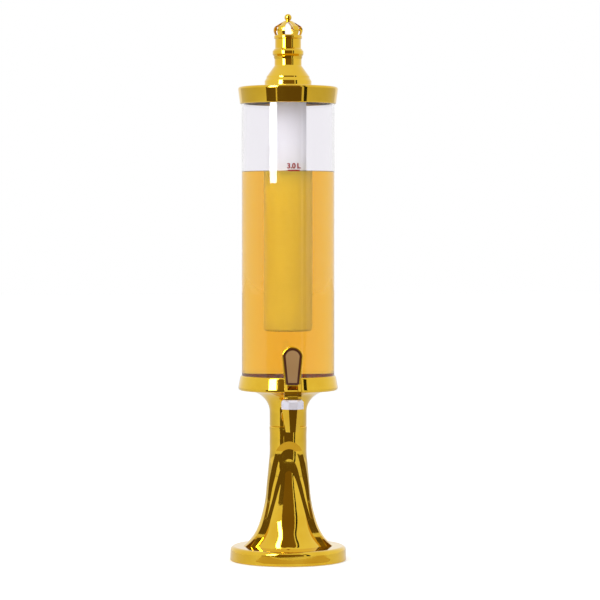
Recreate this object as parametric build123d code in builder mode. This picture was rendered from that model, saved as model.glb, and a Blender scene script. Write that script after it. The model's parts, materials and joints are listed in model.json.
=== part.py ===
from build123d import *
import os
from scipy.interpolate import PchipInterpolator

# Three-litre column drink dispenser. Millimetres, +Z up, tap towards -Y,
# origin at the centre of the underside.

# ---- base
plate_radius = 74.5
plate_height = 18.5
plate_shoulder = 5.0
plate_wall = 3.5
plate_draft = 0.5
foot_gap = 0.8
pad_thickness = 1.1
pad_inset = 8.5
cover_thickness = 2.5
cover_clearance = 0.3
ballast_boss_gap = 2.3
ballast_thickness = 7.8
cover_boss_radius = 4.2
cover_screw_inset = 10.0
cover_screw_radius = 1.6
cover_screw_head = 3.0
cover_screw_length = 10.0
screw_clearance = 0.1

# ---- pedestal
pedestal_height = 153.8
foot_half_width = 57.4
foot_half_depth = 38.0
neck_radius = 23.7
seam_bevel = 0.5
pedestal_bore = 13.5
pedestal_bell_height = 31.5
pedestal_bell_width = 44.0
pedestal_bell_depth = 28.0
pedestal_boss_radius = 4.5
pedestal_boss_height = 14.0
pedestal_screw_x = 26.0
pedestal_screw_y = 12.0
pedestal_screw_radius = 1.75
pedestal_screw_head = 3.6
pedestal_screw_head_height = 2.6
pedestal_screw_length = 15.0
oval_step = 9.0

# ---- neck, the funnel below the tank
neck_straight = 17.7
neck_flare_height = 27.8
neck_rim_radius = 55.0
neck_rim_thickness = 0.2
neck_wall = 3.5
neck_floor = 1.9
spigot_radius = 15.0
spigot_length = 6.0
neck_thread_radius = 51.8
neck_thread_height = 9.0
neck_mouth_radius = 49.0
thread_clearance = 0.2

# ---- tank
collar_height = 19.0
collar_radius = 64.4
collar_groove_floor = 6.0
collar_lip_height = 5.0
collar_inner_height = 16.0
collar_lip_radius = 50.0
gasket_thickness = 1.5
tube_radius = 59.2
tube_wall = 2.5
tube_length = 370.5
tube_clearance = 0.1

# ---- tap
tap_collar_gap = 11.6
tap_rise = 14.7
spout_drop = 16.6
spout_top = 12.3
spout_tip_flats = 16.7
spout_top_flats = 25.7
outlet_radius = 4.5
chamber_radius = 7.5
chamber_depth = 6.0
shank_radius = 6.5
shank_bore = 3.8
shank_inner_end = 8.0
flange_radius = 10.5
flange_thickness = 2.7
outer_boss_rise = 1.8
inner_boss_rise = 3.4
washer_radius = 10.5
outer_washer_thickness = 1.8
inner_washer_thickness = 1.5
lock_nut_flats = 20.0
lock_nut_thickness = 5.0
nut_flats = 27.5
nut_height = 11.5
nut_top_wall = 3.0
nut_chamfer = 2.4
body_thread_radius = 9.8
body_thread_height = 7.2
gland_length = 6.5
stem_radius = 2.4
running_clearance = 0.05
stem_flange_radius = 5.6
stem_flange_thickness = 1.2
cup_radius = 6.9
cup_height = 4.8
cup_gap = 0.1
spring_wire = 0.9
spring_radius = 4.4
spring_turns = 5
head_width = 12.7
head_radius = 6.5
pin_radius = 1.5
cam_radius = 7.0
cam_offset = 4.6
cam_gap = 0.35
cheek_gap = 0.3
cheek_width = 4.0
handle_rise = 9.5
handle_length = 49.5
handle_foot_half = 9.75
handle_wide_half = 13.3
handle_wide_drop = 11.2
handle_thickness = 9.0
handle_round = 1.2
face_inset = 1.7
face_recess = 1.2
face_clearance = 0.15

# ---- lid and ice tube
lid_overlap = 12.6
lid_height = 21.6
lid_gap = 0.3
lid_foot_radius = 61.5
lid_band_radius = 62.6
lid_radius = 64.0
lid_band_height = 9.0
lid_top_round = 2.0
lid_plate = 5.0
lid_spigot_radius = 56.3
lid_spigot_wall = 2.3
lid_spigot_depth = 7.0
lid_seal_thickness = 1.6
socket_outer = 29.5
socket_depth = 13.0
ice_radius = 23.35
ice_wall = 2.0
ice_length = 304.0
ice_bottom_round = 4.0
ice_collar_radius = 25.5
ice_collar_height = 10.0
ice_seal_thickness = 2.0

# ---- finial
finial_base_height = 39.0
finial_spigot_radius = 9.0
finial_spigot_length = 6.0
crown_cup_height = 27.0
crown_dome_height = 18.5
crown_wall = 3.0
crown_windows = 6
window_half_width = 5.3
window_height = 16.2
window_spring = 7.0
rib_boss_radius = 2.5
ball_radius = 4.6
ball_neck_radius = 2.8
finial_screw_radius = 2.5
finial_screw_head = 5.0
finial_screw_head_height = 2.2
finial_screw_length = 22.0

# ---- heights worked out from the values above
cover_bottom = pad_thickness
cover_top = cover_bottom + cover_thickness
plate_ceiling = plate_height - plate_wall
seam = plate_height + pedestal_height
neck_top = seam + neck_straight + neck_flare_height
collar_bottom = neck_top + neck_rim_thickness
collar_top = collar_bottom + collar_height
groove_floor = collar_bottom + collar_groove_floor
tube_bottom = groove_floor + gasket_thickness
tube_top = tube_bottom + tube_length
tube_bore = tube_radius - tube_wall
lid_bottom = tube_top - lid_overlap
lid_top = lid_bottom + lid_height
lid_ceiling = lid_top - lid_plate
ice_top = lid_ceiling - ice_seal_thickness
ice_bottom = ice_top - ice_length
finial_joint = lid_top + finial_base_height
crown_deck = finial_joint + crown_cup_height
crown_top = crown_deck + crown_dome_height
cover_screw_circle = plate_radius - cover_screw_inset
pad_radius = plate_radius - pad_inset
ballast_radius = cover_screw_circle - cover_boss_radius - ballast_boss_gap
tap_reach = collar_radius + tap_collar_gap
tap_height = seam + tap_rise
outer_boss_face = neck_radius + outer_boss_rise
inner_boss_face = neck_radius - neck_wall - inner_boss_rise
outlet_tip = tap_height - spout_drop
body_top = tap_height + spout_top
seat_height = tap_height - chamber_depth
nut_top = body_top + nut_height
pin_height = nut_top + cam_gap + cam_radius
gland_flange_bottom = body_top + body_thread_height
gland_bottom = gland_flange_bottom - gland_length
cup_bottom = seat_height + cup_gap
cup_top = cup_bottom + cup_height
spring_bottom = cup_top + stem_flange_thickness
handle_foot = pin_height + handle_rise
handle_top = handle_foot + handle_length
tap_plane = Plane(origin=(0, -tap_reach, 0), x_dir=(1, 0, 0), z_dir=(0, 0, 1))

os.makedirs("parts", exist_ok=True)


def save(part, name):
    part.label = name
    export_step(part, f"parts/{name}.step")


# ================= base =================
cover_screw_spots = PolarLocations(cover_screw_circle, 4, start_angle=45)
pedestal_screw_spots = GridLocations(2 * pedestal_screw_x, 2 * pedestal_screw_y, 2, 2)

with BuildPart() as base_plate:
    with BuildSketch(Plane.XZ):
        with BuildLine():
            top_edge = plate_radius - plate_draft - plate_shoulder
            foot_line = Line((0, foot_gap), (plate_radius, foot_gap))
            side = Line(foot_line @ 1, (plate_radius - plate_draft, plate_height - plate_shoulder))
            shoulder = TangentArc(side @ 1, (top_edge, plate_height), tangent=side % 1)
            Polyline(shoulder @ 1, (0, plate_height), (0, foot_gap))
        make_face()
    revolve(axis=Axis.Z)
    with BuildSketch(Plane.XY.offset(foot_gap)):
        Circle(plate_radius - plate_wall)
    extrude(amount=plate_ceiling - foot_gap, mode=Mode.SUBTRACT)
    with BuildSketch(Plane.XY.offset(cover_top)):
        with cover_screw_spots:
            Circle(cover_boss_radius)
    extrude(amount=plate_ceiling - cover_top)
    with BuildSketch(Plane.XY.offset(cover_top)):
        with cover_screw_spots:
            Circle(cover_screw_radius + screw_clearance)
    extrude(amount=cover_screw_length, mode=Mode.SUBTRACT)
    with BuildSketch(Plane.XY.offset(plate_ceiling)):
        with pedestal_screw_spots:
            Circle(pedestal_screw_radius + screw_clearance)
    extrude(amount=plate_wall, mode=Mode.SUBTRACT)
save(base_plate.part, "base_plate")

with BuildPart() as bottom_cover:
    with BuildSketch(Plane.XY.offset(cover_bottom)):
        Circle(plate_radius - plate_wall - cover_clearance)
    extrude(amount=cover_thickness)
    with Locations(Plane(origin=(0, 0, cover_bottom), z_dir=(0, 0, -1))):
        with PolarLocations(cover_screw_circle, 4, start_angle=45):
            CounterSinkHole(
                cover_screw_radius + screw_clearance,
                cover_screw_head + screw_clearance,
                counter_sink_angle=90,
            )
save(bottom_cover.part, "bottom_cover")

with BuildPart() as cover_screws:
    head_cone = cover_screw_head - cover_screw_radius
    with BuildSketch(Plane.XY.offset(cover_bottom)):
        with cover_screw_spots:
            Circle(cover_screw_radius)
    extrude(amount=cover_screw_length)
    with BuildSketch(Plane.XY.offset(cover_bottom)):
        with cover_screw_spots:
            Circle(cover_screw_head)
    extrude(amount=head_cone, taper=45)
save(cover_screws.part, "cover_screws")

with BuildPart() as base_pad:
    with BuildSketch(Plane.XY):
        Circle(pad_radius)
    extrude(amount=pad_thickness)
    chamfer(base_pad.edges().group_by(Axis.Z)[0], length=pad_thickness / 4)
save(base_pad.part, "base_pad")

with BuildPart() as ballast_disc:
    with BuildSketch(Plane.XY.offset(cover_top)):
        Circle(ballast_radius)
    extrude(amount=ballast_thickness)
    chamfer(ballast_disc.edges(), length=0.6)
save(ballast_disc.part, "ballast_disc")

# ================= pedestal =================
# The front and back each show two nested arches, let in under hoods. An oval trumpet
# is faced off by a curved front, an oval that is less deep fills the arch, and the
# same once more makes the inner arch. Rows: height, half width, half depth.
outer_trumpet = [
    (0.0, foot_half_width, foot_half_depth + 5.0),
    (8.3, 48.6, 37.0),
    (21.1, 40.3, 31.0),
    (37.5, 34.5, 28.0),
    (59.5, 29.5, 26.5),
    (82.5, 27.2, 25.6),
    (106.5, 24.9, 24.4),
    (121.0, neck_radius, neck_radius),
    (pedestal_height, neck_radius, neck_radius),
]
middle_trumpet = [
    (0.0, 51.7, 34.7),
    (8.3, 47.0, 28.5),
    (21.1, 39.6, 23.3),
    (37.5, 33.7, 20.0),
    (50.5, 30.0, 19.3),
    (59.5, 28.2, 18.3),
    (82.5, 23.4, 17.8),
    (91.5, 21.5, 17.8),
    (103.0, 21.4, 17.8),
    (117.0, 22.0, 17.8),
    (131.0, 22.2, 17.8),
]
inner_trumpet = [
    (0.0, 44.7, foot_half_depth),
    (8.3, 38.0, 33.5),
    (21.1, 31.0, 26.5),
    (31.5, 28.2, 22.0),
    (45.5, 25.2, 19.5),
    (63.3, 21.5, 17.5),
    (82.8, 17.6, 15.9),
    (96.5, 15.9, 14.9),
    (108.0, 15.0, 14.6),
]
# side views of the two curved fronts: height, depth in front of the axis
outer_front = [
    (0.0, 11.0),
    (50.0, 10.6),
    (84.0, 10.3),
    (92.0, 11.1),
    (104.0, 13.1),
    (118.5, 15.7),
    (125.5, 17.9),
    (129.2, 19.9),
    (139.0, 25.5),
]
inner_front = [(0.0, 12.5), (45.0, 11.6), (60.0, 12.1), (85.0, 13.4), (102.3, 15.7), (112.5, 17.8), (122.0, 20.8)]


def oval_stack(rows):
    heights, half_widths, half_depths = zip(*rows)
    width_at = PchipInterpolator(heights, half_widths)
    depth_at = PchipInterpolator(heights, half_depths)
    steps = max(2, round(heights[-1] / oval_step))
    with BuildPart() as stack:
        for step in range(steps + 1):
            height = heights[-1] * step / steps
            with BuildSketch(Plane.XY.offset(plate_height + height)):
                Ellipse(float(width_at(height)), float(depth_at(height)))
        loft()
    return stack.part


def hooded_front(rows):
    points = [(-depth, plate_height + height) for height, depth in rows]
    top = plate_height + pedestal_height + 1.0
    with BuildPart() as hood:
        with BuildSketch(Plane.YZ):
            with BuildLine():
                front = Spline(*points)
                Polyline(front @ 1, (-neck_radius - 6.0, top), (0, top))
                Polyline((0, top), (0, plate_height), front @ 0)
            make_face()
            mirror(about=Plane.YZ)
        extrude(amount=foot_half_width + 5.0, both=True)
    return hood.part


outer_form = oval_stack(outer_trumpet) & hooded_front(outer_front)
middle_form = oval_stack(middle_trumpet) & hooded_front(inner_front)
inner_form = oval_stack(inner_trumpet)

with BuildPart() as pedestal:
    add(outer_form)
    add(middle_form)
    add(inner_form)
    with BuildSketch(Plane.XY.offset(plate_height)):
        Ellipse(pedestal_bell_width, pedestal_bell_depth)
    with BuildSketch(Plane.XY.offset(plate_height + pedestal_bell_height)):
        Circle(pedestal_bore)
    loft(mode=Mode.SUBTRACT)
    with BuildSketch(Plane.XY.offset(plate_height)):
        Circle(pedestal_bore)
    extrude(amount=pedestal_height, mode=Mode.SUBTRACT)
    with BuildSketch(Plane.XY.offset(seam - spigot_length)):
        Circle(spigot_radius + thread_clearance)
    extrude(amount=spigot_length, mode=Mode.SUBTRACT)
    with BuildSketch(Plane.XY.offset(plate_height)):
        with pedestal_screw_spots:
            Circle(pedestal_boss_radius)
    extrude(amount=pedestal_boss_height)
    with BuildSketch(Plane.XY.offset(plate_height)):
        with pedestal_screw_spots:
            Circle(pedestal_screw_radius + screw_clearance)
    extrude(amount=pedestal_screw_length - plate_wall, mode=Mode.SUBTRACT)
    top_edge = pedestal.edges().group_by(Axis.Z)[-1].sort_by(SortBy.LENGTH)[-1]
    chamfer(top_edge, length=seam_bevel)
save(pedestal.part, "pedestal")

with BuildPart() as pedestal_screws:
    with BuildSketch(Plane.XY.offset(plate_ceiling - pedestal_screw_head_height)):
        with pedestal_screw_spots:
            Circle(pedestal_screw_head)
    extrude(amount=pedestal_screw_head_height)
    with BuildSketch(Plane.XY.offset(plate_ceiling)):
        with pedestal_screw_spots:
            Circle(pedestal_screw_radius)
    extrude(amount=pedestal_screw_length - screw_clearance)
save(pedestal_screws.part, "pedestal_screws")

# ================= neck =================
flare_start = seam + neck_straight
neck_bore = neck_radius - neck_wall
mouth_top = collar_bottom + neck_thread_height
inner_flare_start = flare_start + neck_wall
tap_axis_plane = Plane(origin=(0, 0, tap_height), x_dir=(1, 0, 0), z_dir=(0, -1, 0))

with BuildPart() as neck:
    with BuildSketch(Plane.XZ):
        with BuildLine():
            Polyline(
                (0, seam - spigot_length),
                (spigot_radius, seam - spigot_length),
                (spigot_radius, seam),
                (neck_radius - seam_bevel, seam),
                (neck_radius, seam + seam_bevel),
                (neck_radius, flare_start),
            )
            EllipticalCenterArc(
                (neck_rim_radius, flare_start),
                neck_rim_radius - neck_radius,
                neck_flare_height,
                start_angle=90,
                arc_size=90,
            )
            Polyline(
                (neck_rim_radius, neck_top),
                (neck_rim_radius, collar_bottom),
                (neck_thread_radius, collar_bottom),
                (neck_thread_radius, mouth_top),
                (0, mouth_top),
                (0, seam - spigot_length),
            )
        make_face()
    revolve(axis=Axis.Z)
    # the drink chamber, a funnel that runs down to the tap
    with BuildSketch(Plane.XZ):
        with BuildLine():
            Polyline(
                (0, mouth_top),
                (0, seam + neck_floor),
                (neck_bore, seam + neck_floor),
                (neck_bore, inner_flare_start),
            )
            EllipticalCenterArc(
                (neck_mouth_radius, inner_flare_start),
                neck_mouth_radius - neck_bore,
                mouth_top - inner_flare_start,
                start_angle=90,
                arc_size=90,
            )
            Line((neck_mouth_radius, mouth_top), (0, mouth_top))
        make_face()
    revolve(axis=Axis.Z, mode=Mode.SUBTRACT)
    # flat seats for the tap's washers, inside and outside
    with BuildSketch(tap_axis_plane.offset(inner_boss_face)):
        Circle(washer_radius + 0.3)
    extrude(amount=outer_boss_face - inner_boss_face)
    with BuildSketch(tap_axis_plane.offset(inner_boss_face)):
        Circle(shank_radius + thread_clearance)
    extrude(amount=outer_boss_face - inner_boss_face, mode=Mode.SUBTRACT)
save(neck.part, "neck")

# ================= tank =================
groove_outer = tube_radius + tube_clearance
groove_inner = tube_bore - tube_clearance
lip_bottom = collar_top - collar_lip_height

with BuildPart() as tank_collar:
    with BuildSketch(Plane.XZ):
        with BuildLine():
            ledge = mouth_top + gasket_thickness
            bore = neck_thread_radius + thread_clearance
            Polyline(
                (bore, collar_bottom),
                (collar_radius - 3.4, collar_bottom),
            )
            TangentArc(
                (collar_radius - 3.4, collar_bottom),
                (collar_radius, collar_bottom + 3.8),
                tangent=(1, 0),
            )
            Polyline(
                (collar_radius, collar_bottom + 3.8),
                (collar_radius - 0.9, lip_bottom - 0.8),
                (collar_radius - 1.9, lip_bottom),
                (collar_radius - 2.3, collar_top - 1.0),
                (collar_radius - 3.1, collar_top),
                (groove_outer, collar_top),
                (groove_outer, groove_floor),
                (groove_inner, groove_floor),
                (groove_inner, collar_bottom + collar_inner_height),
                (collar_lip_radius, collar_bottom + collar_inner_height),
                (collar_lip_radius, ledge),
                (bore, ledge),
                (bore, collar_bottom),
            )
        make_face()
    revolve(axis=Axis.Z)
save(tank_collar.part, "tank_collar")

with BuildPart() as collar_gasket:
    with BuildSketch(Plane.XY.offset(mouth_top)):
        Circle(neck_thread_radius)
        Circle(neck_mouth_radius, mode=Mode.SUBTRACT)
    extrude(amount=gasket_thickness)
save(collar_gasket.part, "collar_gasket")

with BuildPart() as tube_gasket:
    with BuildSketch(Plane.XY.offset(groove_floor)):
        Circle(tube_radius)
        Circle(tube_bore, mode=Mode.SUBTRACT)
    extrude(amount=gasket_thickness)
save(tube_gasket.part, "tube_gasket")

with BuildPart() as tank_tube:
    with BuildSketch(Plane.XY.offset(tube_bottom)):
        Circle(tube_radius)
        Circle(tube_bore, mode=Mode.SUBTRACT)
    extrude(amount=tube_length)
save(tank_tube.part, "tank_tube")

# ================= tap =================
flange_outer_face = outer_boss_face + outer_washer_thickness + flange_thickness
lock_nut_face = inner_boss_face - inner_washer_thickness - lock_nut_thickness

with BuildPart() as tap_body:
    with BuildSketch(tap_plane.offset(outlet_tip)):
        RegularPolygon(spout_tip_flats / 2, 8, major_radius=False, rotation=22.5)
    with BuildSketch(tap_plane.offset(body_top)):
        RegularPolygon(spout_top_flats / 2, 8, major_radius=False, rotation=22.5)
    loft(ruled=True)
    with BuildSketch(tap_plane.offset(body_top)):
        Circle(body_thread_radius)
    extrude(amount=body_thread_height)
    # shank to the neck, with the flange that presses the outer washer
    with BuildSketch(tap_axis_plane.offset(shank_inner_end)):
        Circle(shank_radius)
    extrude(amount=tap_reach - shank_inner_end)
    with BuildSketch(tap_axis_plane.offset(flange_outer_face - flange_thickness)):
        Circle(flange_radius)
    extrude(amount=flange_thickness)
    with BuildSketch(tap_plane.offset(seat_height)):
        Circle(chamber_radius)
    extrude(amount=gland_flange_bottom - seat_height, mode=Mode.SUBTRACT)
    with BuildSketch(tap_plane.offset(outlet_tip)):
        Circle(outlet_radius)
    extrude(amount=seat_height - outlet_tip, mode=Mode.SUBTRACT)
    with BuildSketch(tap_axis_plane.offset(shank_inner_end)):
        Circle(shank_bore)
    extrude(amount=tap_reach - shank_inner_end, mode=Mode.SUBTRACT)
save(tap_body.part, "tap_body")

with BuildPart() as outer_washer:
    with BuildSketch(tap_axis_plane.offset(outer_boss_face)):
        Circle(washer_radius)
        Circle(shank_radius + thread_clearance, mode=Mode.SUBTRACT)
    extrude(amount=outer_washer_thickness)
save(outer_washer.part, "outer_washer")

with BuildPart() as inner_washer:
    with BuildSketch(tap_axis_plane.offset(inner_boss_face - inner_washer_thickness)):
        Circle(washer_radius)
        Circle(shank_radius + thread_clearance, mode=Mode.SUBTRACT)
    extrude(amount=inner_washer_thickness)
save(inner_washer.part, "inner_washer")

with BuildPart() as lock_nut:
    with BuildSketch(tap_axis_plane.offset(lock_nut_face)):
        RegularPolygon(lock_nut_flats / 2, 6, major_radius=False)
        Circle(shank_radius + thread_clearance, mode=Mode.SUBTRACT)
    extrude(amount=lock_nut_thickness)
save(lock_nut.part, "lock_nut")

with BuildPart() as bonnet_nut:
    with BuildSketch(tap_plane.offset(body_top)):
        RegularPolygon(nut_flats / 2, 8, major_radius=False, rotation=22.5)
    extrude(amount=nut_height)
    chamfer(bonnet_nut.edges().group_by(Axis.Z)[-1], length=nut_chamfer)
    with BuildSketch(tap_plane.offset(body_top)):
        Circle(body_thread_radius + thread_clearance)
    extrude(amount=nut_height - nut_top_wall, mode=Mode.SUBTRACT)
    with BuildSketch(tap_plane.offset(body_top)):
        Circle(stem_radius + 0.5)
    extrude(amount=nut_height, mode=Mode.SUBTRACT)
save(bonnet_nut.part, "bonnet_nut")

with BuildPart() as stem_gland:
    with BuildSketch(tap_plane.offset(gland_bottom)):
        Circle(chamber_radius - thread_clearance)
    extrude(amount=gland_length)
    with BuildSketch(tap_plane.offset(gland_flange_bottom)):
        Circle(body_thread_radius)
    extrude(amount=nut_top - nut_top_wall - gland_flange_bottom)
    with BuildSketch(tap_plane.offset(gland_bottom)):
        Circle(stem_radius + running_clearance)
    extrude(amount=nut_top - gland_bottom, mode=Mode.SUBTRACT)
save(stem_gland.part, "stem_gland")

# the spring's ends stop one wire short of the faces that it presses on
spring_start = spring_bottom + spring_wire / 2
spring_length = gland_bottom - spring_bottom - spring_wire
with BuildPart() as closing_spring:
    with BuildLine():
        coil = Helix(
            pitch=spring_length / spring_turns,
            height=spring_length,
            radius=spring_radius,
            center=(0, -tap_reach, spring_start),
        )
    with BuildSketch(Plane(origin=coil @ 0, z_dir=coil % 0)):
        Circle(spring_wire / 2)
    sweep(is_frenet=True)
save(closing_spring.part, "closing_spring")

with BuildPart() as valve_stem:
    with BuildSketch(tap_plane.offset(cup_top - 2.0)):
        Circle(stem_radius)
    extrude(amount=pin_height - cup_top + 2.0)
    with BuildSketch(tap_plane.offset(cup_top)):
        Circle(stem_flange_radius)
    extrude(amount=stem_flange_thickness)
    with BuildSketch(Plane.YZ.offset(-head_width / 2)):
        with Locations((-tap_reach, pin_height)):
            Circle(head_radius)
        head_bottom = nut_top + cam_gap
        with Locations((-tap_reach, (head_bottom + pin_height) / 2)):
            Rectangle(2 * head_radius - 1.5, pin_height - head_bottom)
    extrude(amount=head_width)
    with BuildSketch(Plane.YZ.offset(-head_width / 2)):
        with Locations((-tap_reach, pin_height)):
            Circle(pin_radius + running_clearance)
    extrude(amount=head_width, mode=Mode.SUBTRACT)
save(valve_stem.part, "valve_stem")

with BuildPart() as seat_cup:
    with BuildSketch(tap_plane.offset(cup_bottom)):
        Circle(cup_radius)
    extrude(amount=cup_height)
    fillet(seat_cup.edges().group_by(Axis.Z)[0], radius=1.2)
    with BuildSketch(tap_plane.offset(cup_top - 2.0)):
        Circle(stem_radius)
    extrude(amount=2.0, mode=Mode.SUBTRACT)
save(seat_cup.part, "seat_cup")

fork_half = head_width / 2 + cheek_gap + cheek_width
with BuildPart() as pivot_pin:
    with BuildSketch(Plane.YZ.offset(-fork_half)):
        with Locations((-tap_reach, pin_height)):
            Circle(pin_radius)
    extrude(amount=2 * fork_half)
save(pivot_pin.part, "pivot_pin")


# front outline of the handle, drawn in by inset all round
def paddle_outline(inset):
    foot = handle_foot + inset
    wide = handle_top - handle_wide_drop
    with BuildSketch() as outline:
        with BuildLine():
            ThreePointArc(
                (-handle_wide_half + inset, wide),
                (0, handle_top - inset),
                (handle_wide_half - inset, wide),
            )
            Polyline(
                (handle_wide_half - inset, wide),
                (handle_foot_half - inset, foot),
                (-handle_foot_half + inset, foot),
                (-handle_wide_half + inset, wide),
            )
        make_face()
    return outline.sketch


handle_front = -tap_reach - handle_thickness / 2
handle_back = -tap_reach + handle_thickness / 2
with BuildPart() as tap_handle:
    with BuildSketch(Plane.XZ.offset(-handle_back)):
        add(paddle_outline(0))
    extrude(amount=handle_thickness)
    fillet(tap_handle.edges().group_by(Axis.Y)[0], radius=handle_round)
    fillet(tap_handle.edges().group_by(Axis.Y)[-1], radius=handle_round * 2)
    # fork cheeks, each ending in an off-centre cam that bears on the nut
    for side in (-1, 1):
        inner_face = side * (head_width / 2 + cheek_gap)
        with BuildSketch(Plane.YZ.offset(inner_face)):
            with Locations((-tap_reach - cam_offset, pin_height)):
                Circle(cam_radius)
            with Locations((-tap_reach, pin_height)):
                Circle(pin_radius + 2.8)
            with Locations((-tap_reach, handle_foot + 1.5)):
                Rectangle(handle_thickness - 1.0, 3.0)
            make_hull()
        extrude(amount=side * cheek_width)
    with BuildSketch(Plane.YZ.offset(-fork_half)):
        with Locations((-tap_reach, pin_height)):
            Circle(pin_radius + running_clearance)
    extrude(amount=2 * fork_half, mode=Mode.SUBTRACT)
    with BuildSketch(Plane.XZ.offset(-handle_front - face_recess)):
        add(paddle_outline(face_inset))
    extrude(amount=face_recess, mode=Mode.SUBTRACT)
save(tap_handle.part, "tap_handle")

with BuildPart() as handle_face:
    with BuildSketch(Plane.XZ.offset(-handle_front - face_recess)):
        add(paddle_outline(face_inset + face_clearance))
    extrude(amount=face_recess - 0.2)
save(handle_face.part, "handle_face")

# ================= lid and ice tube =================
with BuildPart() as lid:
    with BuildSketch(Plane.XZ):
        with BuildLine():
            inner = tube_radius + lid_gap
            seal_face = tube_top + lid_seal_thickness
            band_top = lid_bottom + lid_band_height
            Polyline(
                (inner, lid_bottom),
                (lid_foot_radius - 0.8, lid_bottom),
                (lid_foot_radius, lid_bottom + 0.8),
                (lid_band_radius, band_top),
                (lid_radius - 0.8, band_top + 0.6),
                (lid_radius, band_top + 4.5),
                (lid_radius, lid_top - lid_top_round),
            )
            TangentArc(
                (lid_radius, lid_top - lid_top_round),
                (lid_radius - lid_top_round, lid_top),
                tangent=(0, 1),
            )
            Polyline(
                (lid_radius - lid_top_round, lid_top),
                (finial_screw_radius + screw_clearance, lid_top),
                (finial_screw_radius + screw_clearance, lid_ceiling),
                (ice_collar_radius + thread_clearance, lid_ceiling),
                (ice_collar_radius + thread_clearance, lid_ceiling - socket_depth),
                (socket_outer, lid_ceiling - socket_depth),
                (socket_outer, lid_ceiling),
                (lid_spigot_radius - lid_spigot_wall, lid_ceiling),
                (lid_spigot_radius - lid_spigot_wall, tube_top - lid_spigot_depth),
                (lid_spigot_radius, tube_top - lid_spigot_depth),
                (lid_spigot_radius, seal_face),
                (inner, seal_face),
                (inner, lid_bottom),
            )
        make_face()
    revolve(axis=Axis.Z)
save(lid.part, "lid")

with BuildPart() as lid_seal:
    with BuildSketch(Plane.XY.offset(tube_top)):
        Circle(tube_radius)
        Circle(tube_bore, mode=Mode.SUBTRACT)
    extrude(amount=lid_seal_thickness)
save(lid_seal.part, "lid_seal")

with BuildPart() as ice_seal:
    with BuildSketch(Plane.XY.offset(ice_top)):
        Circle(ice_collar_radius)
        Circle(ice_radius - ice_wall, mode=Mode.SUBTRACT)
    extrude(amount=ice_seal_thickness)
save(ice_seal.part, "ice_seal")

with BuildPart() as ice_tube:
    with BuildSketch(Plane.XZ):
        with BuildLine():
            bore = ice_radius - ice_wall
            inner_round = ice_bottom_round - ice_wall
            collar_foot = ice_top - ice_collar_height
            Line((0, ice_bottom), (ice_radius - ice_bottom_round, ice_bottom))
            TangentArc(
                (ice_radius - ice_bottom_round, ice_bottom),
                (ice_radius, ice_bottom + ice_bottom_round),
                tangent=(1, 0),
            )
            Polyline(
                (ice_radius, ice_bottom + ice_bottom_round),
                (ice_radius, collar_foot - 2.0),
                (ice_collar_radius, collar_foot),
                (ice_collar_radius, ice_top),
                (bore, ice_top),
                (bore, ice_bottom + ice_bottom_round),
            )
            TangentArc(
                (bore, ice_bottom + ice_bottom_round),
                (bore - inner_round, ice_bottom + ice_wall),
                tangent=(0, -1),
            )
            Polyline(
                (bore - inner_round, ice_bottom + ice_wall),
                (0, ice_bottom + ice_wall),
                (0, ice_bottom),
            )
        make_face()
    revolve(axis=Axis.Z)
save(ice_tube.part, "ice_tube")

# ================= finial =================
with BuildPart() as finial_base:
    with BuildSketch(Plane.XZ):
        with BuildLine():
            Polyline(
                (0, lid_top),
                (31.0, lid_top),
                (31.0, lid_top + 1.5),
                (30.0, lid_top + 2.6),
                (30.0, lid_top + 7.6),
                (27.6, lid_top + 11.6),
                (27.6, lid_top + 13.2),
            )
            ThreePointArc(
                (27.6, lid_top + 13.2),
                (22.6, lid_top + 20.0),
                (17.3, lid_top + 27.4),
            )
            Polyline(
                (17.3, lid_top + 27.4),
                (17.3, lid_top + 35.3),
                (18.5, finial_joint - 0.5),
                (18.0, finial_joint),
                (0, finial_joint),
                (0, lid_top),
            )
        make_face()
    revolve(axis=Axis.Z)
    with BuildSketch(Plane.XY.offset(finial_joint - finial_spigot_length)):
        Circle(finial_spigot_radius + thread_clearance)
    extrude(amount=finial_spigot_length, mode=Mode.SUBTRACT)
    with BuildSketch(Plane.XY.offset(lid_top)):
        Circle(finial_screw_radius + screw_clearance)
    extrude(amount=finial_screw_length - lid_plate + 1.0, mode=Mode.SUBTRACT)
save(finial_base.part, "finial_base")

with BuildPart() as finial_screw:
    with BuildSketch(Plane.XY.offset(lid_ceiling - finial_screw_head_height)):
        Circle(finial_screw_head)
    extrude(amount=finial_screw_head_height)
    with BuildSketch(Plane.XY.offset(lid_ceiling)):
        Circle(finial_screw_radius)
    extrude(amount=finial_screw_length)
save(finial_screw.part, "finial_screw")

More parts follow.
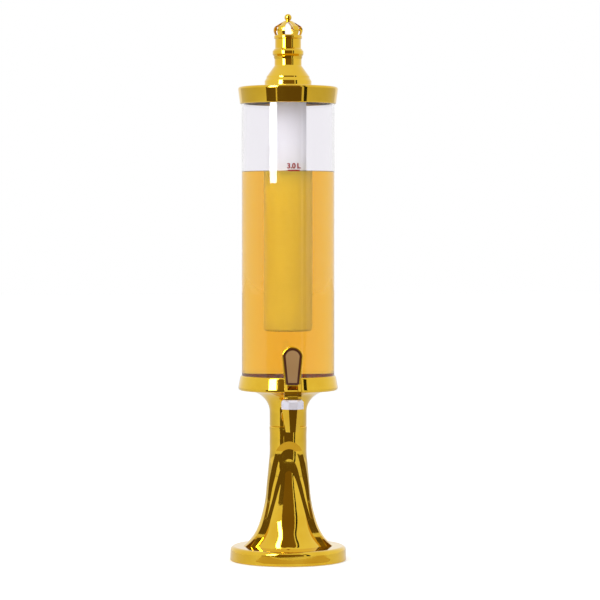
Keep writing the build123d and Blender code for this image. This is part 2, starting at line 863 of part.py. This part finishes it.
with BuildPart() as finial_crown:
    # moulded cup below the openwork
    with BuildSketch(Plane.XZ):
        with BuildLine():
            Polyline(
                (0, finial_joint),
                (18.0, finial_joint),
                (19.8, finial_joint + 2.6),
                (19.8, finial_joint + 6.5),
                (17.9, finial_joint + 9.0),
                (16.6, finial_joint + 10.3),
                (16.6, finial_joint + 21.8),
                (17.9, finial_joint + 23.0),
                (17.9, crown_deck - 1.2),
                (17.0, crown_deck),
                (0, crown_deck),
                (0, finial_joint),
            )
        make_face()
    revolve(axis=Axis.Z)
    # the dome, a shell that the windows leave as six ribs
    with BuildSketch(Plane.XZ):
        with BuildLine():
            outer_low = Line((17.0, crown_deck), (18.6, crown_deck + 4.5))
            outer_bulge = ThreePointArc(
                outer_low @ 1,
                (18.5, crown_deck + 8.0),
                (17.0, crown_deck + 10.8),
            )
            Polyline(
                outer_bulge @ 1,
                (5.6, crown_top - 0.6),
                (3.0, crown_top),
                (0, crown_top),
                (0, crown_top - crown_wall - 1.0),
                (4.0, crown_top - crown_wall - 1.2),
                (17.0 - crown_wall, crown_deck + 10.0),
            )
            ThreePointArc(
                (17.0 - crown_wall, crown_deck + 10.0),
                (18.6 - crown_wall, crown_deck + 5.5),
                (17.0 - crown_wall, crown_deck),
            )
            Line((17.0 - crown_wall, crown_deck), (17.0, crown_deck))
        make_face()
    revolve(axis=Axis.Z)
    for number in range(crown_windows):
        turn = -90 + number * 360 / crown_windows
        outward = Vector(1, 0, 0).rotate(Axis.Z, turn)
        across = Vector(0, 1, 0).rotate(Axis.Z, turn)
        with BuildSketch(Plane(origin=(0, 0, crown_deck), x_dir=across, z_dir=outward)):
            with BuildLine():
                ThreePointArc(
                    (window_half_width, window_spring),
                    (window_half_width * 0.72, window_spring * 0.42 + window_height * 0.58),
                    (0, window_height),
                )
                ThreePointArc(
                    (0, window_height),
                    (-window_half_width * 0.72, window_spring * 0.42 + window_height * 0.58),
                    (-window_half_width, window_spring),
                )
                Polyline(
                    (-window_half_width, window_spring),
                    (-window_half_width + 0.5, 0),
                    (window_half_width - 0.5, 0),
                    (window_half_width, window_spring),
                )
            make_face()
        extrude(amount=2 * collar_radius, mode=Mode.SUBTRACT)
    with Locations((0, 0, crown_deck + 7.3)):
        with PolarLocations(16.2, crown_windows, start_angle=-60):
            Sphere(rib_boss_radius)
    with Locations((0, 0, crown_top + 0.2)):
        Cylinder(ball_neck_radius, 3.0)
    with Locations((0, 0, crown_top + 4.0)):
        Sphere(ball_radius)
    with BuildSketch(Plane.XY.offset(finial_joint - finial_spigot_length + 0.5)):
        Circle(finial_spigot_radius)
    extrude(amount=finial_spigot_length - 0.5)
save(finial_crown.part, "finial_crown")
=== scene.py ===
import json
import math
import bpy
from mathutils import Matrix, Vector


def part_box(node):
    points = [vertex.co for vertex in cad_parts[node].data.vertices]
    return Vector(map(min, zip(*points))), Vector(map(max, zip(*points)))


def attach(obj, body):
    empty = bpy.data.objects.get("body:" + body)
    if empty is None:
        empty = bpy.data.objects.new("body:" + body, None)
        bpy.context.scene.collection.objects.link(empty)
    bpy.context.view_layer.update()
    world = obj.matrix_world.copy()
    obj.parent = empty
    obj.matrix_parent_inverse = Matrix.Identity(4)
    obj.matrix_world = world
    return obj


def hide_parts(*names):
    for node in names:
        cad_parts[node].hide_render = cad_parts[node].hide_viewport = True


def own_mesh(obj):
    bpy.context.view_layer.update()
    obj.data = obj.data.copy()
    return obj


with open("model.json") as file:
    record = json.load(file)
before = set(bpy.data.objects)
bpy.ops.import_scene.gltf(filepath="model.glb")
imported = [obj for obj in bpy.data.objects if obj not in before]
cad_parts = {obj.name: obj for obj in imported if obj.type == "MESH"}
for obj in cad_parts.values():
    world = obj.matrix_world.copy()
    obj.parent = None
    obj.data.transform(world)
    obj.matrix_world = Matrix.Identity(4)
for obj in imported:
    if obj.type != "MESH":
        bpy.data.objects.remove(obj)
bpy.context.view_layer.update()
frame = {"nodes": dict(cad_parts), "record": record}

nodes = frame["nodes"]
mm = 0.001


# helpers for modelling
def clearSelection():
    if bpy.context.object and bpy.context.object.mode != "OBJECT":
        bpy.ops.object.mode_set(mode="OBJECT")
    bpy.ops.object.select_all(action="DESELECT")


def makeActive(piece):
    clearSelection()
    piece.select_set(True)
    bpy.context.view_layer.objects.active = piece


def applyPlace(piece):
    makeActive(piece)
    bpy.ops.object.transform_apply(location=True, rotation=True, scale=True)


def editFacing(piece, direction, level=0.9):
    # starts Edit mode with only the level faces selected that look up (1) or down (-1)
    for face in piece.data.polygons:
        face.select = face.normal.z * direction > level
    bpy.ops.object.mode_set(mode="EDIT")


def extrudeBy(height):
    bpy.ops.mesh.extrude_region_move(TRANSFORM_OT_translate={"value": (0, 0, height)})


def turnRing(name, profile, edgeWidth, sides=144):
    # a ring from its section in mm: the first circle is extruded and resized from point to point
    merge = 0.002 * mm
    bevel = {"segments": 3, "from": math.radians(10)}
    clearSelection()
    radius, height = profile[0]
    bpy.ops.mesh.primitive_circle_add(vertices=sides, radius=radius * mm, location=(0, 0, height * mm))
    piece = bpy.context.object
    piece.name = name
    applyPlace(piece)
    bpy.ops.object.mode_set(mode="EDIT")
    bpy.ops.mesh.select_mode(type="EDGE")
    bpy.ops.mesh.select_all(action="SELECT")
    for nextRadius, nextHeight in profile[1:] + profile[:1]:
        extrudeBy((nextHeight - height) * mm)
        share = nextRadius / radius
        bpy.ops.transform.resize(value=(share, share, 1), center_override=(0, 0, 0))
        radius, height = nextRadius, nextHeight
    bpy.ops.mesh.select_all(action="SELECT")
    bpy.ops.mesh.remove_doubles(threshold=merge)
    bpy.ops.mesh.normals_make_consistent(inside=False)
    bpy.ops.object.mode_set(mode="OBJECT")
    bpy.ops.object.shade_smooth()
    rounding = piece.modifiers.new("edges", "BEVEL")
    rounding.width = edgeWidth * mm
    rounding.segments = bevel["segments"]
    rounding.limit_method = "ANGLE"
    rounding.angle_limit = bevel["from"]
    rounding.harden_normals = True
    makeActive(piece)
    bpy.ops.object.modifier_apply(modifier=rounding.name)
    return piece


# helpers for materials
def newMaterial(name):
    material = bpy.data.materials.new(name)
    material.use_nodes = True
    return material, material.node_tree, material.node_tree.nodes["Principled BSDF"]


def setInputs(shader, values):
    for name, value in values.items():
        shader.inputs[name].default_value = value


def noiseField(tree, scale, detail=3.0, stretch=(1, 1, 1)):
    # noise on the piece's own Object coordinates
    place = tree.nodes.new("ShaderNodeTexCoord")
    mapping = tree.nodes.new("ShaderNodeMapping")
    mapping.inputs["Scale"].default_value = stretch
    noise = tree.nodes.new("ShaderNodeTexNoise")
    noise.inputs["Scale"].default_value = scale
    noise.inputs["Detail"].default_value = detail
    tree.links.new(place.outputs["Object"], mapping.inputs["Vector"])
    tree.links.new(mapping.outputs["Vector"], noise.inputs["Vector"])
    return noise.outputs["Fac"]


def spreadRange(tree, value, low, high, fromLow=0.3, fromHigh=0.7):
    span = tree.nodes.new("ShaderNodeMapRange")
    setInputs(span, {"From Min": fromLow, "From Max": fromHigh, "To Min": low, "To Max": high})
    tree.links.new(value, span.inputs["Value"])
    return span.outputs["Result"]


def twoTone(tree, value, tones, stops=(0.35, 0.65)):
    ramp = tree.nodes.new("ShaderNodeValToRGB")
    for element, stop, tone in zip(ramp.color_ramp.elements, stops, tones):
        element.position = stop
        element.color = (*tone, 1)
    tree.links.new(value, ramp.inputs["Fac"])
    return ramp.outputs["Color"]


def placeAlong(tree, axis):
    place = tree.nodes.new("ShaderNodeTexCoord")
    parts = tree.nodes.new("ShaderNodeSeparateXYZ")
    tree.links.new(place.outputs["Object"], parts.inputs["Vector"])
    return parts.outputs[axis]


def compute(tree, operation, first, second=0.0):
    # one step of arithmetic on sockets or plain numbers
    step = tree.nodes.new("ShaderNodeMath")
    step.operation = operation
    for socket, value in zip(step.inputs, (first, second)):
        if isinstance(value, (int, float)):
            socket.default_value = value
        else:
            tree.links.new(value, socket)
    return step.outputs[0]


def blendColours(tree, share, first, second):
    # the first colour where share is 0, and the colour of the second socket where it is 1
    mix = tree.nodes.new("ShaderNodeMix")
    mix.data_type = "RGBA"
    colourA, colourB = mix.inputs[6], mix.inputs[7]
    colourA.default_value = (*first, 1)
    tree.links.new(share, mix.inputs["Factor"])
    tree.links.new(second, colourB)
    return mix.outputs[2]


def addBump(tree, shader, height, distance):
    bump = tree.nodes.new("ShaderNodeBump")
    bump.inputs["Strength"].default_value = 1.0
    bump.inputs["Distance"].default_value = distance
    tree.links.new(height, bump.inputs["Height"])
    tree.links.new(bump.outputs["Normal"], shader.inputs["Normal"])


def paint(tree, shader, pattern, look):
    # two tones and a range of roughness that follow one pattern
    tree.links.new(twoTone(tree, pattern, look["tones"]), shader.inputs["Base Color"])
    tree.links.new(spreadRange(tree, pattern, *look["rough"]), shader.inputs["Roughness"])


# finishes
def platedGold():
    # vacuum-plated plastic: mirror bright, with the mould's faint waviness
    look = {"tones": [(0.710, 0.425, 0.014), (0.775, 0.500, 0.030)], "rough": (0.035, 0.075),
            "cloud": 26.0, "wave": 60.0, "waveDepth": 0.010 * mm,
            "plain": {"Metallic": 1.0, "Coat Weight": 0.35, "Coat Roughness": 0.03}}
    material, tree, shader = newMaterial("platedGold")
    paint(tree, shader, noiseField(tree, look["cloud"]), look)
    setInputs(shader, look["plain"])
    addBump(tree, shader, noiseField(tree, look["wave"], detail=1.0), look["waveDepth"])
    return material


def clearAcrylic():
    # polished tube wall with faint streaks along it
    look = {"plain": {"Base Color": (0.925, 0.912, 0.938, 1), "Transmission Weight": 1.0, "IOR": 1.49},
            "streak": 38.0, "streakDetail": 4.0, "streakStretch": (1, 1, 0.12), "streakSpan": (0.45, 0.75),
            "rough": (0.0, 0.035), "ripple": 90.0, "rippleStretch": (1, 1, 0.2), "rippleDepth": 0.004 * mm}
    material, tree, shader = newMaterial("clearAcrylic")
    setInputs(shader, look["plain"])
    streaks = noiseField(tree, look["streak"], look["streakDetail"], look["streakStretch"])
    gloss = spreadRange(tree, streaks, *look["rough"], *look["streakSpan"])
    tree.links.new(gloss, shader.inputs["Roughness"])
    ripples = noiseField(tree, look["ripple"], detail=1.0, stretch=look["rippleStretch"])
    addBump(tree, shader, ripples, look["rippleDepth"])
    return material


def frostedPlastic():
    # blow-moulded ice tube: milky and satin outside, with painted shade: darker tones above the drink's
    # level and a lighter tone below it, to even out the light that reaches it through the tank
    look = {"paintedShadeAbove": [(0.72, 0.715, 0.75), (0.77, 0.765, 0.795)], "paintedLitBelow": (0.95, 0.94, 0.92),
            "paintedShadeBand": (490 * mm, 500 * mm), "cloud": 30.0, "cloudDetail": 4.0,
            "cloudStretch": (1, 1, 0.4), "grain": 900.0, "rough": (0.38, 0.52), "grainDepth": 0.02 * mm}
    material, tree, shader = newMaterial("frostedPlastic")
    cloud = noiseField(tree, look["cloud"], look["cloudDetail"], look["cloudStretch"])
    # painted shade: at the drink's level the colour turns from the lighter tone below to the darker tones
    # above
    paintedShadeShare = spreadRange(tree, placeAlong(tree, "Z"), 0.0, 1.0, *look["paintedShadeBand"])
    colour = blendColours(tree, paintedShadeShare, look["paintedLitBelow"], twoTone(tree, cloud, look["paintedShadeAbove"]))
    tree.links.new(colour, shader.inputs["Base Color"])
    tree.links.new(spreadRange(tree, cloud, *look["rough"]), shader.inputs["Roughness"])
    addBump(tree, shader, noiseField(tree, look["grain"], detail=2.0), look["grainDepth"])
    return material


def brownInlay():
    # a tan field with painted shade: a dark band all round it, along the inlay's own outline, stands in for
    # the shade at the edge of its recess
    look = {"tan": [(0.415, 0.230, 0.088), (0.455, 0.265, 0.110)], "line": (0.070, 0.010, 0.001),
            "lineWidth": (2.5 * mm, 2.8 * mm), "cloud": 30.0, "cloudStretch": (1, 1, 0.35),
            "foot": 229.5 * mm, "wide": 265.95 * mm, "footHalf": 7.9 * mm, "wideHalf": 11.45 * mm,
            "archCentre": 263.6 * mm, "archRadius": 11.685 * mm, "rough": (0.26, 0.34),
            "plain": {"Metallic": 0.2, "Coat Weight": 0.6, "Coat Roughness": 0.04}}
    material, tree, shader = newMaterial("brownInlay")
    cloud = noiseField(tree, look["cloud"], detail=2.0, stretch=look["cloudStretch"])
    across = compute(tree, "ABSOLUTE", placeAlong(tree, "X"))
    up = placeAlong(tree, "Z")
    fromFoot = compute(tree, "SUBTRACT", up, look["foot"])
    lean = (look["wideHalf"] - look["footHalf"]) / (look["wide"] - look["foot"])
    half = compute(tree, "ADD", compute(tree, "MULTIPLY", fromFoot, lean), look["footHalf"])
    above = compute(tree, "MAXIMUM", compute(tree, "SUBTRACT", up, look["archCentre"]), 0.0)
    squares = [compute(tree, "MULTIPLY", length, length) for length in (across, above)]
    reach = compute(tree, "SQRT", compute(tree, "ADD", *squares))
    fromSide = compute(tree, "SUBTRACT", half, across)
    fromArch = compute(tree, "SUBTRACT", look["archRadius"], reach)
    inward = compute(tree, "MINIMUM", compute(tree, "MINIMUM", fromSide, fromArch), fromFoot)
    # painted shade: the dark band within 2.5 to 2.8 mm of the outline
    field = spreadRange(tree, inward, 0.0, 1.0, *look["lineWidth"])
    colour = blendColours(tree, field, look["line"], twoTone(tree, cloud, look["tan"]))
    tree.links.new(colour, shader.inputs["Base Color"])
    tree.links.new(spreadRange(tree, cloud, *look["rough"]), shader.inputs["Roughness"])
    setInputs(shader, look["plain"])
    return material


def pearlPlastic():
    look = {"tones": [(0.745, 0.715, 0.815), (0.790, 0.762, 0.845)], "rough": (0.22, 0.32), "cloud": 40.0,
            "plain": {"Metallic": 0.25, "Coat Weight": 0.5}}
    material, tree, shader = newMaterial("pearlPlastic")
    paint(tree, shader, noiseField(tree, look["cloud"]), look)
    setInputs(shader, look["plain"])
    return material


def mouldedPlastic(name, dark, light, rough, grain=700.0, depth=0.02 * mm):
    look = {"tones": [dark, light], "rough": rough, "cloud": 40.0}
    material, tree, shader = newMaterial(name)
    paint(tree, shader, noiseField(tree, look["cloud"]), look)
    addBump(tree, shader, noiseField(tree, grain, detail=2.0), depth)
    return material


def bareMetal(name, dark, light, rough, stretch):
    look = {"tones": [dark, light], "rough": rough, "lines": 300.0, "lineDepth": 0.004 * mm}
    material, tree, shader = newMaterial(name)
    lines = noiseField(tree, look["lines"], detail=2.0, stretch=stretch)
    paint(tree, shader, lines, look)
    shader.inputs["Metallic"].default_value = 1.0
    addBump(tree, shader, lines, look["lineDepth"])
    return material


def beerLook():
    # the colour builds up with the depth of drink that the light crosses
    look = {"tones": [(0.99, 0.965, 0.38), (1.0, 0.985, 0.44)], "haze": 9.0, "hazeStretch": (1, 1, 0.3),
            "plain": {"Transmission Weight": 1.0, "Roughness": 0.0, "IOR": 1.333},
            "inside": {"Color": (0.998, 0.839, 0.0625, 1), "Density": 40.0}}
    material, tree, shader = newMaterial("paleLager")
    haze = noiseField(tree, look["haze"], detail=2.0, stretch=look["hazeStretch"])
    tree.links.new(twoTone(tree, haze, look["tones"]), shader.inputs["Base Color"])
    setInputs(shader, look["plain"])
    depth = tree.nodes.new("ShaderNodeVolumeAbsorption")
    setInputs(depth, look["inside"])
    tree.links.new(depth.outputs["Volume"], tree.nodes["Material Output"].inputs["Volume"])
    return material


def printInk():
    look = {"tones": [(0.28, 0.001, 0.006), (0.34, 0.002, 0.009)], "cloud": 800.0, "rough": 0.45}
    material, tree, shader = newMaterial("redInk")
    cloud = noiseField(tree, look["cloud"], detail=2.0)
    tree.links.new(twoTone(tree, cloud, look["tones"]), shader.inputs["Base Color"])
    shader.inputs["Roughness"].default_value = look["rough"]
    return material


print("finishes")
finishes = {
    "gold_plated_plastic": platedGold(),
    "clear_tank": clearAcrylic(),
    "frosted_ice_tube": frostedPlastic(),
    "brown_inlay": brownInlay(),
    "pearl_nut": pearlPlastic(),
    "black_plastic": mouldedPlastic("blackPlastic", (0.012, 0.012, 0.012), (0.022, 0.022, 0.023),
                                    (0.42, 0.55)),
    "silicone": mouldedPlastic("siliconeRubber", (0.52, 0.47, 0.42), (0.60, 0.56, 0.52), (0.45, 0.6)),
    "foam_pad": mouldedPlastic("foamPad", (0.018, 0.017, 0.016), (0.034, 0.033, 0.032),
                               (0.8, 0.95), 1500.0, 0.1 * mm),
    "steel": bareMetal("zincSteel", (0.42, 0.42, 0.43), (0.58, 0.58, 0.60), (0.28, 0.42), (1, 1, 0.2)),
    "stainless": bareMetal("stainlessWire", (0.55, 0.55, 0.56), (0.70, 0.70, 0.71),
                           (0.15, 0.25), (0.2, 1, 1)),
    "cast_weight": bareMetal("pressedWeight", (0.10, 0.10, 0.105), (0.17, 0.17, 0.18),
                             (0.5, 0.7), (1, 1, 1)),
    "natural_plastic": mouldedPlastic("acetal", (0.66, 0.64, 0.60), (0.74, 0.72, 0.68), (0.35, 0.5)),
}
slotOf = {part["node"]: part["material_slot"] for part in frame["record"]["subparts"]}
for nodeName, node in nodes.items():
    for materialSlot in node.material_slots:
        materialSlot.material = finishes[slotOf[nodeName]]


# the closing spring gets a mesh of its own
def pressSpring():
    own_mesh(nodes["closing_spring"])


# the tank's collar with its plain conical face; its inside faces get painted shade, a dark red-brown in
# place of the plated gold
def turnCollar():
    collar = {"outside": [(52.0, 218.0), (61.2, 218.0), (62.6, 218.6), (63.5, 219.8), (63.8, 221.5),
                          (61.3, 235.5), (60.2, 237.0)],
              "groove": [(59.3, 237.0), (59.3, 224.0), (56.6, 224.0)],
              "lip": [(56.6, 236.7), (56.1, 237.2), (54.5, 237.2), (54.0, 236.7)],
              "bore": [(54.0, 230.0), (50.0, 230.0), (50.0, 228.3), (52.0, 228.3)],
              "paintedShadeWithin": 57.5 * mm, "edge": 0.3,
              "dark": (0.20, 0.022, 0.002), "light": (0.24, 0.030, 0.003), "rough": (0.4, 0.5)}
    profile = collar["outside"] + collar["groove"] + collar["lip"] + collar["bore"]
    piece = turnRing("collar_ring", profile, collar["edge"])
    piece.data.materials.append(finishes["gold_plated_plastic"])
    piece.data.materials.append(mouldedPlastic("paintedShadeInside", collar["dark"], collar["light"],
                                               collar["rough"]))
    # painted shade: faces nearer the axis than 57.5 mm take the dark red-brown
    for face in piece.data.polygons:
        if math.hypot(face.center.x, face.center.y) < collar["paintedShadeWithin"]:
            face.material_index = 1
    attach(piece, "stand")
    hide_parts("tank_collar")


# the lid's conical skirt, with the spigot and the ice tube's socket below its plate
def turnLid():
    cap = {"outside": [(59.5, 583.4), (60.7, 583.4), (61.5, 584.2), (64.0, 602.4), (63.5, 604.0),
                       (62.2, 605.0)],
           "screwHole": [(2.6, 605.0), (2.6, 600.0)],
           "socket": [(25.7, 600.0), (25.7, 587.0), (29.5, 587.0), (29.5, 600.0)],
           "spigot": [(54.0, 600.0), (54.0, 589.0), (56.3, 589.0), (56.3, 597.6), (59.5, 597.6)],
           "edge": 0.3}
    profile = cap["outside"] + cap["screwHole"] + cap["socket"] + cap["spigot"]
    piece = turnRing("lid_cap", profile, cap["edge"])
    piece.data.materials.append(finishes["gold_plated_plastic"])
    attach(piece, "lid")
    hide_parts("lid")


# the drink, a closed body that fills the tank up to the mark
def pourDrink():
    drink = {"level": 497.6 * mm, "tubeWall": 2.5 * mm, "wallBite": 0.15 * mm, "aboveCollar": 0.1 * mm,
             "lipRadius": 54.05 * mm, "lipDepth": 7.1 * mm, "mouthRadius": 50.05 * mm,
             "mouthDepth": 3.2 * mm, "meniscusWidth": 1.6 * mm, "meniscusRise": 0.7 * mm,
             "meniscusShares": [(1 / 3, 0.7), (2 / 3, 0.3)], "flatRing": 12 * mm, "sides": 128,
             "smooth": math.radians(40)}
    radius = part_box("tank_tube")[1].x - drink["tubeWall"] + drink["wallBite"]
    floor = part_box("tank_collar")[1].z + drink["aboveCollar"]
    clearSelection()
    bpy.ops.mesh.primitive_cylinder_add(vertices=drink["sides"], radius=radius, depth=drink["level"] - floor,
                                        location=(0, 0, (drink["level"] + floor) / 2),
                                        end_fill_type="NGON")
    piece = bpy.context.object
    piece.name = "drink"
    applyPlace(piece)
    bpy.ops.object.mode_set(mode="EDIT")
    bpy.ops.mesh.select_mode(type="FACE")
    bpy.ops.mesh.select_all(action="DESELECT")
    bpy.ops.object.mode_set(mode="OBJECT")
    # the surface climbs a little where it wets the wall
    editFacing(piece, 1)
    for widthShare, riseShare in drink["meniscusShares"]:
        bpy.ops.mesh.inset(thickness=drink["meniscusWidth"] * widthShare,
                           depth=-drink["meniscusRise"] * riseShare)
    bpy.ops.mesh.inset(thickness=drink["flatRing"], depth=0)
    bpy.ops.object.mode_set(mode="OBJECT")
    # below, it narrows to the collar's lip and then to the funnel's mouth
    editFacing(piece, -1)
    bpy.ops.mesh.inset(thickness=radius - drink["lipRadius"], depth=0)
    extrudeBy(-drink["lipDepth"])
    bpy.ops.mesh.inset(thickness=drink["lipRadius"] - drink["mouthRadius"], depth=0)
    extrudeBy(-drink["mouthDepth"])
    bpy.ops.object.mode_set(mode="OBJECT")
    bpy.ops.object.shade_smooth_by_angle(angle=drink["smooth"])
    piece.data.materials.append(beerLook())
    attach(piece, "stand")


# the volume mark, printed on the outside of the tube
def wrapOnTube(piece, radius, turn):
    # x becomes the way round the tube, y the height, z the thickness of the ink
    for vertex in piece.data.vertices:
        x, y, z = vertex.co
        angle = x / radius + turn
        vertex.co = (math.sin(angle) * (radius + z), -math.cos(angle) * (radius + z), y)
    piece.data.update()


def layDigits(mark):
    clearSelection()
    bpy.ops.object.text_add(location=(0, 0, 0))
    text = bpy.context.object.data
    text.body = mark["text"]
    text.size = mark["size"]
    text.offset = mark["bold"]
    text.space_word = mark["wordSpace"]
    text.align_x = "CENTER"
    text.extrude = mark["ink"] / 2
    bpy.context.object.name = "volume_mark"
    bpy.ops.object.convert(target="MESH")
    bpy.ops.object.mode_set(mode="EDIT")
    bpy.ops.mesh.select_all(action="SELECT")
    bpy.ops.transform.translate(value=(0, mark["baseline"], mark["ink"] / 2))
    bpy.ops.mesh.remove_doubles(threshold=mark["merge"])
    bpy.ops.mesh.normals_make_consistent(inside=False)
    bpy.ops.object.mode_set(mode="OBJECT")
    return bpy.context.object


def layLine(mark):
    clearSelection()
    bpy.ops.mesh.primitive_cube_add(size=1, location=(0, mark["line"], mark["ink"] / 2))
    line = bpy.context.object
    line.name = "volume_line"
    line.scale = (mark["lineWidth"], mark["lineHeight"], mark["ink"])
    applyPlace(line)
    bpy.ops.object.mode_set(mode="EDIT")
    bpy.ops.mesh.select_all(action="SELECT")
    bpy.ops.mesh.subdivide(number_cuts=mark["lineCuts"])
    bpy.ops.object.mode_set(mode="OBJECT")
    return line


def printMark():
    mark = {"text": "3.0 L", "size": 9.0 * mm, "bold": 0.36 * mm, "wordSpace": 0.7,
            "baseline": 500.4 * mm, "line": 497.7 * mm, "lineWidth": 15.5 * mm, "lineHeight": 1.9 * mm,
            "lineCuts": 15, "ink": 0.05 * mm, "merge": 0.001 * mm, "turn": math.radians(2.9)}
    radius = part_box("tank_tube")[1].x
    ink = printInk()
    for piece in (layDigits(mark), layLine(mark)):
        wrapOnTube(piece, radius, mark["turn"])
        piece.data.materials.clear()
        piece.data.materials.append(ink)
        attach(piece, "stand")


print("spring")
pressSpring()
print("collar and lid")
turnCollar()
turnLid()
print("drink and mark")
pourDrink()
printMark()


# studio
studio = {
    "aim": math.radians(4.0),          # the camera stands this far round towards -X
    "turn": math.radians(0.266),       # and looks this far to the right of the column
    "tilt": math.radians(1.74),
    "distance": 3.281,
    "eye": 0.433,
    "focal": 154.0,
    "sensor": 36.0,
    "farthest": 60.0,
    "roomWhite": 1.0,                  # what the camera and reflections see
    "roomLight": 0.62,                 # what falls on the rest
    "tankLight": 0.85,                 # added for light that reaches the ice tube through the tank
    "floorSize": 24.0,
    "floor": {"Base Color": (0.90, 0.90, 0.90, 1), "Roughness": 0.9, "Specular IOR Level": 0.1,
              "Emission Color": (1, 1, 1, 1)},
    "floorGlow": 0.45,
    "floorMirrored": 0.25,             # the share of that glow which reflections see
    "lampAim": (0, 0, 0.35),
}


def glowMaterial(name, colour, strength):
    material = bpy.data.materials.new(name)
    material.use_nodes = True
    tree = material.node_tree
    tree.nodes.clear()
    out = tree.nodes.new("ShaderNodeOutputMaterial")
    glow = tree.nodes.new("ShaderNodeEmission")
    setInputs(glow, {"Color": (*colour, 1), "Strength": strength})
    tree.links.new(glow.outputs["Emission"], out.inputs["Surface"])
    return material


def seenDirectly(tree, mirrored=1.0):
    # 1 for rays from the camera or through the tank, and the given share for reflections
    rays = tree.nodes.new("ShaderNodeLightPath").outputs
    straight = compute(tree, "MAXIMUM", rays["Is Camera Ray"], rays["Is Transmission Ray"])
    return compute(tree, "MAXIMUM", straight, compute(tree, "MULTIPLY", rays["Is Glossy Ray"], mirrored))


def throughTank(tree):
    # 1 for light that falls through the tank on the frosted tube
    rays = tree.nodes.new("ShaderNodeLightPath").outputs
    scattered = compute(tree, "MINIMUM", rays["Diffuse Depth"], 1.0)
    return compute(tree, "MULTIPLY", scattered, rays["Is Transmission Ray"])


def lightRoom():
    world = bpy.data.worlds.new("whiteRoom")
    bpy.context.scene.world = world
    world.use_nodes = True
    tree = world.node_tree
    back = tree.nodes["Background"]
    back.inputs["Color"].default_value = (1, 1, 1, 1)
    level = spreadRange(tree, seenDirectly(tree), studio["roomLight"], studio["roomWhite"], 0.0, 1.0)
    extra = compute(tree, "MULTIPLY", throughTank(tree), studio["tankLight"])
    tree.links.new(compute(tree, "ADD", level, extra), back.inputs["Strength"])


def layFloor():
    clearSelection()
    bpy.ops.mesh.primitive_plane_add(size=studio["floorSize"], location=(0, 0, 0))
    floor = bpy.context.object
    floor.name = "floor"
    material, tree, shader = newMaterial("paleFloor")
    setInputs(shader, studio["floor"])
    glow = compute(tree, "MULTIPLY", seenDirectly(tree, studio["floorMirrored"]), studio["floorGlow"])
    tree.links.new(glow, shader.inputs["Emission Strength"])
    floor.data.materials.append(material)


def bearingPoint(bearing, distance, height):
    # bearings are degrees from -Y towards +X
    angle = math.radians(bearing)
    return (math.sin(angle) * distance, -math.cos(angle) * distance, height)


def hangCard(name, bearings, distances, heights, colour, strength=1.0):
    # a flat card that shows only in reflections, from its near lower to its far upper edge
    clearSelection()
    bpy.ops.mesh.primitive_plane_add(size=2, location=(0, 0, 0))
    card = bpy.context.object
    card.name = name
    for vertex in card.data.vertices:
        side = 0 if vertex.co.x < 0 else 1
        edge = 0 if vertex.co.y < 0 else 1
        vertex.co = bearingPoint(bearings[side], distances[edge], heights[edge])
    card.data.update()
    card.data.materials.append(glowMaterial(name, colour, strength))
    card.visible_camera = False
    card.visible_diffuse = False
    card.visible_transmission = False
    card.visible_shadow = False
    card.visible_volume_scatter = False


def hangLamp(name, place, size, power):
    lamp = bpy.data.lights.new(name, "AREA")
    lamp.shape = "RECTANGLE"
    lamp.size, lamp.size_y = size
    lamp.energy = power
    holder = bpy.data.objects.new(name, lamp)
    bpy.context.scene.collection.objects.link(holder)
    holder.location = place
    beam = Vector(studio["lampAim"]) - Vector(place)
    holder.rotation_euler = beam.to_track_quat("-Z", "Y").to_euler()
    holder.visible_glossy = False
    holder.visible_camera = False


def placeCamera():
    lens = bpy.data.cameras.new("camera")
    lens.lens = studio["focal"]
    lens.sensor_width = studio["sensor"]
    lens.clip_end = studio["farthest"]
    camera = bpy.data.objects.new("camera", lens)
    bpy.context.scene.collection.objects.link(camera)
    aim, distance = studio["aim"], studio["distance"]
    camera.location = (-math.sin(aim) * distance, -math.cos(aim) * distance, studio["eye"])
    camera.rotation_euler = (math.pi / 2 - studio["tilt"], 0, -(aim + studio["turn"]))
    bpy.context.scene.camera = camera


print("studio")
bpy.context.scene.view_settings.view_transform = "Standard"
lightRoom()
layFloor()
wallAt, ceiling = 4.2, 6.0
walls = (wallAt, wallAt)
darkRoom = (0.15, 0.105, 0.055)
warmWall = (0.23, 0.15, 0.055)
black = (0.03, 0.03, 0.03)
# name, bearings, near and far distance, lower and upper height, colour, and a strength other than 1
cards = [
    ("dark_left", (-58, -28), walls, (0.0, 0.65), darkRoom),
    ("dark_wall_left", (-28, 0), walls, (0.0, ceiling), warmWall),
    ("dark_wall_right", (0, 28), walls, (0.0, ceiling), warmWall),
    ("dark_post", (33, 41), walls, (0.0, ceiling), black),
    ("dark_ground", (-56, 28), (0.30, wallAt), (0.004, 0.004), darkRoom),
    ("post_ground", (33, 41), (0.80, wallAt), (0.005, 0.005), black),
    ("seam_ground", (-32.5, -29.5), (1.6, wallAt), (0.006, 0.006), (0.9, 0.85, 0.7)),
    ("near_ground", (-50, 60), (0.11, 0.30), (0.004, 0.004), (0.74, 0.63, 0.47)),
    ("strip_box", (-49, -31.6), (1.25, 1.25), (0.5, 2.0), (1, 1, 1), 24.0),
]
for card in cards:
    hangCard(*card)
hangLamp("key", (-1.4, -1.9, 2.1), (1.0, 1.6), 28.0)
hangLamp("fill", (1.9, -1.4, 1.7), (1.2, 1.2), 9.0)
placeCamera()

print("done")
